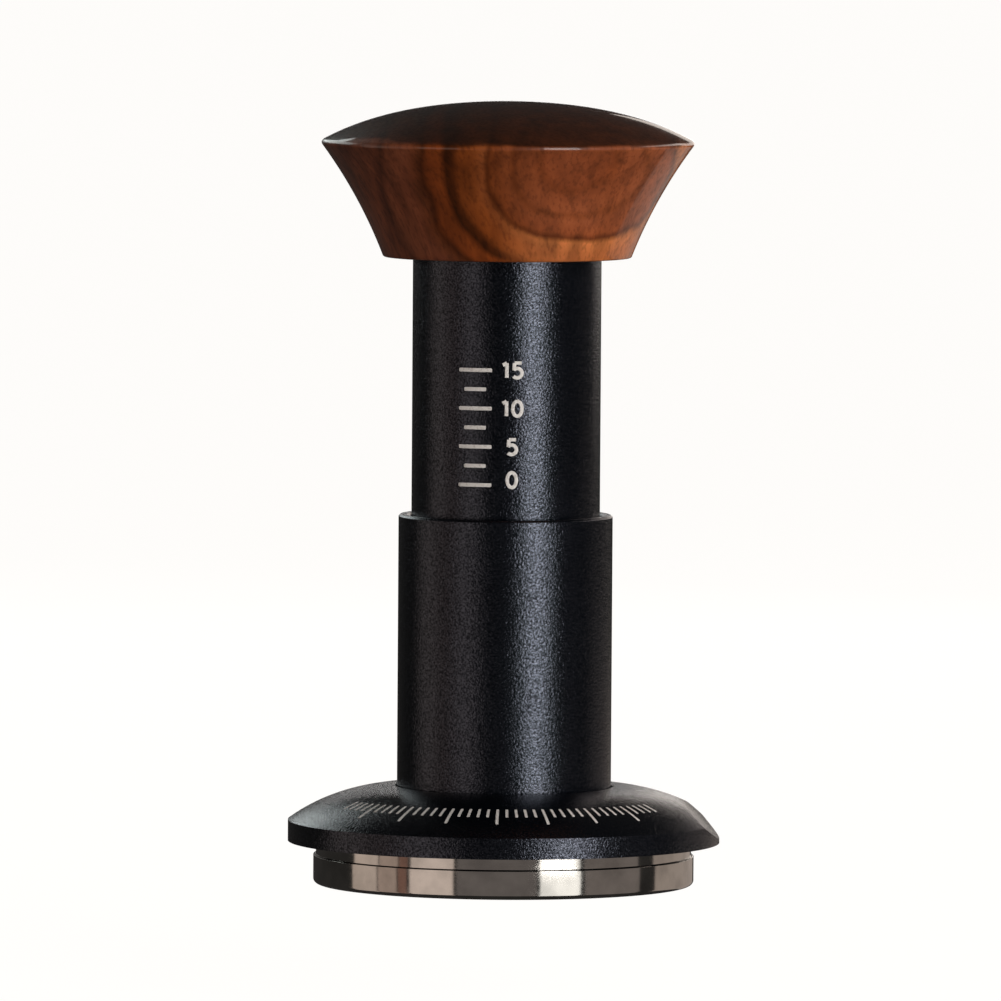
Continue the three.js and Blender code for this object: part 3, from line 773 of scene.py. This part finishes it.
def wrap_round_tube(data, azimuth, height):
    """Bends a flat mesh in XY, with its thickness in Z, round the tube's front."""
    for vertex in data.vertices:
        angle = azimuth + vertex.co.x / tube_radius
        out = tube_radius + vertex.co.z
        rise = vertex.co.y
        vertex.co = (math.sin(angle) * out, -math.cos(angle) * out, height + rise)


def flat_mark(length, width, cuts):
    """A thin slab with round corners, cut across so that it can bend."""
    shape = bmesh.new()
    bmesh.ops.create_grid(shape, x_segments=cuts, y_segments=1, size=0.5)
    bmesh.ops.scale(shape, vec=(length, width, 1), verts=shape.verts)
    corners = [v for v in shape.verts if abs(v.co.x) > length * 0.49]
    bmesh.ops.bevel(
        shape, geom=corners, offset=width * 0.3, segments=3, profile=0.5,
        affect="VERTICES", material=-1)
    slab = bmesh.ops.extrude_face_region(shape, geom=shape.faces[:])
    raised = [v for v in slab["geom"] if isinstance(v, bmesh.types.BMVert)]
    bmesh.ops.translate(shape, vec=(0, 0, ink_height), verts=raised)
    bmesh.ops.recalc_face_normals(shape, faces=shape.faces)
    return shape


def print_mark(index):
    length = short_mark if index % 2 else long_mark
    mark = make_object(f"scale_mark_{index}", flat_mark(length, mark_width, 10))
    wrap_round_tube(mark.data, mark_azimuth, scale_zero + index * scale_step)
    return mark


# %% [markdown]
# The numbers are drawn with strokes, as a sign painter does, because no letter shape in the
# default font has this one's short flag. Each stroke is a curve with a round bevel, which
# is turned to a mesh and pressed flat, so that its edges are soft like printed ink.

# %% Draw the numbers
digit_height = 2.25 * mm
stroke_width = 0.54 * mm
digit_space = 0.42 * mm


def oval(centre, radii, start, end, steps):
    points = []
    for step in range(steps + 1):
        angle = math.radians(start + (end - start) * step / steps)
        points.append((centre[0] + radii[0] * math.cos(angle),
                       centre[1] + radii[1] * math.sin(angle)))
    return points


digit_strokes = {
    "0": (0.62, [oval((0.31, 0.5), (0.31, 0.5), 0, 360, 36)[:-1]]),
    "1": (0.27, [[(0.27, 0.0), (0.27, 1.0)], [(0.0, 0.86), (0.27, 1.0)]]),
    "5": (0.60, [[(0.56, 1.0), (0.09, 1.0)], [(0.09, 1.0), (0.06, 0.50)],
                 [(0.06, 0.50), *oval((0.27, 0.32), (0.33, 0.32), 118, -138, 28)]]),
}


def flat_number(name, digits):
    """A number as a thin mesh, centred on its own middle."""
    ink = bpy.data.curves.new(name, "CURVE")
    ink.dimensions = "3D"
    ink.bevel_depth = stroke_width / 2
    ink.bevel_resolution = 3
    ink.use_fill_caps = True
    start = 0
    for digit in digits:
        width, strokes = digit_strokes[digit]
        for stroke in strokes:
            line = ink.splines.new("POLY")
            line.points.add(len(stroke) - 1)
            line.use_cyclic_u = digit == "0"
            for point, (x, y) in zip(line.points, stroke):
                point.co = (start + x * digit_height, (y - 0.5) * digit_height, 0, 1)
        start += width * digit_height + stroke_width + digit_space
    drawn = bpy.data.objects.new(name, ink)
    bpy.context.scene.collection.objects.link(drawn)
    bpy.context.view_layer.update()
    data = bpy.data.meshes.new_from_object(drawn)
    bpy.data.objects.remove(drawn)
    wide = start - stroke_width - digit_space
    flatten = Matrix.Diagonal((1, 1, 2 * ink_height / stroke_width, 1))
    data.transform(flatten @ Matrix.Translation((-wide / 2, 0, 0)))
    piece = bpy.data.objects.new(name, data)
    bpy.context.scene.collection.objects.link(piece)
    return piece


number_lift = {0: 0.8 * mm}
ink_pieces = [print_mark(index) for index in range(7)]
for number in (0, 5, 10, 15):
    piece = flat_number(f"scale_number_{number}", str(number))
    level = scale_zero + number / 2.5 * scale_step + number_lift.get(number, 0)
    wrap_round_tube(piece.data, number_azimuth, level)
    ink_pieces.append(piece)
for piece in ink_pieces:
    finish_shading(piece)
    piece.data.materials.append(ink_finish)
    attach(piece, "handle")
print("scale pieces:", len(ink_pieces))

# %% [markdown]
# ## The sleeve
# The sleeve is a cup: a long bore for the tube, a groove in its mouth for the upper guide
# ring, and a floor with holes for the bush and the three screws. The frame says where the
# screws stand, and their holes are drilled there. Only its outside is seen.

# %% Turn the sleeve
sleeve_bore = tube_radius + 0.35 * mm
sleeve_floor_top = sleeve_bottom + 3.7 * mm
bush_hole_radius = 7.6 * mm
upper_guide_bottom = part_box("upper_guide_ring")[0][2]
upper_guide_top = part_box("upper_guide_ring")[1][2]
upper_groove_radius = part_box("upper_guide_ring")[1][0] + gap

sleeve_outline = [
    (bush_hole_radius, sleeve_bottom),
    (sleeve_radius - edge_chamfer, sleeve_bottom),
    (sleeve_radius, sleeve_bottom + edge_chamfer),
    (sleeve_radius, sleeve_top - edge_chamfer),
    (sleeve_radius - edge_chamfer, sleeve_top),
    (sleeve_bore + edge_chamfer, sleeve_top),
    (sleeve_bore, sleeve_top - edge_chamfer),
    (sleeve_bore, upper_guide_top + gap),
    (upper_groove_radius, upper_guide_top + gap),
    (upper_groove_radius, upper_guide_bottom - gap),
    (sleeve_bore, upper_guide_bottom - gap),
    (sleeve_bore, sleeve_floor_top),
    (bush_hole_radius, sleeve_floor_top),
]


def middle_of(node):
    """The middle of a node's box, at the height of the frame's origin."""
    low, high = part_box(node)
    return Matrix.Translation(((low[0] + high[0]) / 2, (low[1] + high[1]) / 2, 0))


screw_places = [middle_of(f"skirt_screw_{number}") for number in (1, 2, 3)]
screw_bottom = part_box("skirt_screw_1")[0][2]
screw_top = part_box("skirt_screw_1")[1][2]
head_hole_radius = 3.3 * mm
shank_hole_radius = 1.8 * mm
countersink_foot = skirt_bottom + 0.6 * mm
countersink_top = skirt_bottom + 2.3 * mm
screw_hole = [
    (0, screw_bottom - 1 * mm),
    (head_hole_radius, screw_bottom - 1 * mm),
    (head_hole_radius, countersink_foot),
    (shank_hole_radius, countersink_top),
    (shank_hole_radius, screw_top + gap),
    (0, screw_top + gap),
]
sleeve = make_object("outer_sleeve", spin_outline(sleeve_outline, True, 160))
drill(sleeve, screw_hole, screw_places)
finish_shading(sleeve)
break_edges(sleeve, broken_edge, 2, 40)
sleeve.data.materials.append(coat_finish)
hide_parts("lower_sleeve")
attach(sleeve, "sleeve")

# %% [markdown]
# ## The skirt
# The skirt's top is a shallow dome that runs level into the sleeve. A flat is milled across
# its right side, from the dome down to the foot of the rim. `bisect_plane` cuts the solid
# there, and filling the cut with one face gives a true flat with crisp edges.

# %% Turn the skirt and mill its flat
skirt_rim_top = skirt_bottom + 3.2 * mm
skirt_seat_radius = sleeve_radius + gap
skirt_floor_top = skirt_bottom + 3 * mm
skirt_hole_radius = 9 * mm
skirt_relief = 0.3 * mm
landing_radius = base_radius + gap
flat_inset = 5.5 * mm
flat_foot = skirt_bottom + 0.7 * mm
dome_rise = skirt_top - skirt_rim_top
dome_width = skirt_radius - skirt_seat_radius
dome_arc_radius = (dome_width ** 2 + dome_rise ** 2) / (2 * dome_rise)


def dome_height(radius):
    """Height of the skirt's dome at a distance from the axis."""
    inward = radius - skirt_seat_radius
    return skirt_top - dome_arc_radius + math.sqrt(dome_arc_radius ** 2 - inward ** 2)


def make_skirt():
    outline = [
        (skirt_hole_radius, skirt_bottom + skirt_relief),
        (landing_radius, skirt_bottom + skirt_relief),
        (landing_radius, skirt_bottom),
        (skirt_radius, skirt_bottom),
        *level_arc(skirt_radius, skirt_seat_radius, skirt_rim_top, dome_rise, 20),
        (skirt_seat_radius, skirt_floor_top),
        (skirt_hole_radius, skirt_floor_top),
    ]
    shape = spin_outline(outline, True, 192)
    head = Vector((skirt_radius - flat_inset, 0, dome_height(skirt_radius - flat_inset)))
    foot = Vector((skirt_radius, 0, flat_foot))
    along = foot - head
    facing = Vector((-along.z, 0, along.x)).normalized()
    cut = bmesh.ops.bisect_plane(
        shape, geom=shape.verts[:] + shape.edges[:] + shape.faces[:],
        plane_co=foot, plane_no=facing, clear_outer=True)
    rim = [item for item in cut["geom_cut"] if isinstance(item, bmesh.types.BMEdge)]
    bmesh.ops.contextual_create(shape, geom=rim)
    bmesh.ops.recalc_face_normals(shape, faces=shape.faces)
    skirt = make_object("domed_skirt", shape)
    drill(skirt, screw_hole, screw_places)
    finish_shading(skirt, 25)
    break_edges(skirt, 0.4 * mm, 3, 25)
    print(f"skirt flat: {len(rim)} edges round it")
    return skirt


skirt = make_skirt()
skirt.data.materials.append(coat_finish)
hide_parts("levelling_skirt")
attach(skirt, "sleeve")

# %% [markdown]
# ## The index on the skirt
# A plain arc of index marks is printed round the front of the dome, so that a turn of the
# handle can be judged while the puck is polished.

# %% Print the index
index_radius = 28 * mm
index_step = math.radians(3)
index_count = 39
index_middle = math.radians(-2)
index_long = 4.2 * mm
index_short = 2.4 * mm
index_width = 0.42 * mm
index_lift = 0.005 * mm


def wrap_on_dome(data, azimuth):
    """Lays a flat mesh on the dome: its Y runs outward, and its X round the axis."""
    for vertex in data.vertices:
        radius = index_radius + vertex.co.y
        angle = azimuth + vertex.co.x / index_radius
        height = dome_height(radius) + vertex.co.z + index_lift
        vertex.co = (math.sin(angle) * radius, -math.cos(angle) * radius, height)


def print_index(order):
    steps_from_middle = order - (index_count - 1) // 2
    length = index_short if steps_from_middle % 5 else index_long
    shape = flat_mark(length, index_width, 6)
    bmesh.ops.rotate(
        shape, cent=(0, 0, 0), matrix=Matrix.Rotation(math.radians(90), 3, "Z"),
        verts=shape.verts)
    bmesh.ops.translate(shape, vec=(0, (length - index_long) / 2, 0), verts=shape.verts)
    mark = make_object(f"index_mark_{order + 1:02d}", shape)
    wrap_on_dome(mark.data, index_middle + steps_from_middle * index_step)
    finish_shading(mark)
    mark.data.materials.append(ink_finish)
    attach(mark, "sleeve")
    return mark


index_marks = [print_index(order) for order in range(index_count)]
print("index marks:", len(index_marks))

# %% [markdown]
# ## The base
# The base is one solid steel disc with a rounded lower edge. Its tall band ends in a small
# chamfer and a ledge, with a slightly smaller neck above it, and the boss on top holds the
# shaft.

# %% Turn the base
band_height = 4.5 * mm
band_chamfer = 0.12 * mm
neck_inset = 0.4 * mm
neck_top = skirt_bottom - gap
edge_round = 0.75 * mm
boss_radius = 8 * mm
tip_hole_radius = 4.3 * mm
tip_hole_bottom = base_top - 7 * mm

base = turned("steel_base", [
    (0, 0),
    *arc((base_radius - edge_round, edge_round), edge_round, -90, 0, 10),
    (base_radius, band_height - band_chamfer),
    (base_radius - band_chamfer, band_height),
    (base_radius - neck_inset, band_height),
    (base_radius - neck_inset, neck_top),
    (boss_radius, neck_top),
    (boss_radius, base_top),
    (tip_hole_radius, base_top),
    (tip_hole_radius, tip_hole_bottom),
    (0, tip_hole_bottom),
], closed=False, segments=192, edge=0.06 * mm)
base.data.materials.append(base_finish)
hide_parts("tamping_base")
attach(base, "plunger")

# %% [markdown]
# ## The springs
# The springs are wound with the same spin, which climbs by a little at each step, from a round
# wire with closed ends.

# %% Wind the springs
coil_steps = 32
trip_wire = 0.45 * mm


def wind(name, node, wire, turns, length, coil_radius, place):
    """A coil that starts at the origin and climbs along Z, then is put in its place."""
    shape = bmesh.new()
    stand = Matrix.Translation((coil_radius, 0, wire / 2)) @ Matrix.Rotation(math.pi / 2, 4, "X")
    start = bmesh.ops.create_circle(
        shape, cap_ends=True, segments=10, radius=wire / 2, matrix=stand)
    steps = turns * coil_steps
    bmesh.ops.spin(
        shape, geom=start["verts"] + shape.edges[:] + shape.faces[:], cent=(0, 0, 0),
        axis=(0, 0, 1), dvec=(0, 0, (length - wire) / steps), angle=math.tau * turns,
        steps=steps)
    bmesh.ops.transform(shape, matrix=place, verts=shape.verts)
    bmesh.ops.recalc_face_normals(shape, faces=shape.faces)
    spring = make_object(name, shape)
    finish_shading(spring, 60)
    spring.data.materials.append(spring_finish)
    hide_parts(node)
    print(f"{name}: {turns} turns, {len(spring.data.polygons)} faces")
    return spring


def upright_spring(name, node, wire, turns, body):
    low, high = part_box(node)
    length = high[2] - low[2]
    spring = wind(name, node, wire, turns, length, high[0] - wire / 2,
                  Matrix.Translation((0, 0, low[2])))
    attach(spring, body)
    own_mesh(spring)


upright_spring("retract_coil", "retract_spring", 1 * mm, 7, "turning_washer")
upright_spring("return_coil", "return_spring", 0.8 * mm, 3, "plunger")
upright_spring("main_coil", "main_spring", 1.5 * mm, 6, "handle")

trip_low, trip_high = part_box("trip_spring")
trip_length = trip_high[0] - trip_low[0]
trip_middle = (trip_low[2] + trip_high[2]) / 2
trip_coil = wind(
    "trip_coil", "trip_spring", trip_wire, 4, trip_length,
    trip_high[1] - trip_wire / 2,
    Matrix.Translation((trip_low[0], 0, trip_middle)) @ Matrix.Rotation(math.pi / 2, 4, "Y"))
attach(trip_coil, "trip")
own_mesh(trip_coil)

# %% [markdown]
# ## The pieces inside
# The frame's own solids are right for the pieces that never show, so they only need their
# finish: each keeps its mesh, and the material in its slots is exchanged for a better one.

# %% Finish the inner pieces
inner_finishes = {
    shaft_finish: ["anvil_shaft", "spring_collar", "retract_washer", "end_ring",
                   "spring_cap", "tube_cap"],
    hard_finish: ["seat_ring", "cam_liner", "striker", "trip_block"],
    spring_finish: ["collar_clip"],
    screw_finish: ["base_grub_screw", "preload_screw",
                   "skirt_screw_1", "skirt_screw_2", "skirt_screw_3"],
    bronze_finish: ["shaft_bush"],
    brass_finish: ["knob_insert"],
    plastic_finish: ["upper_guide_ring", "lower_guide_ring"],
}
for finish, names in inner_finishes.items():
    for name in names:
        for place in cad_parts[name].material_slots:
            place.material = finish
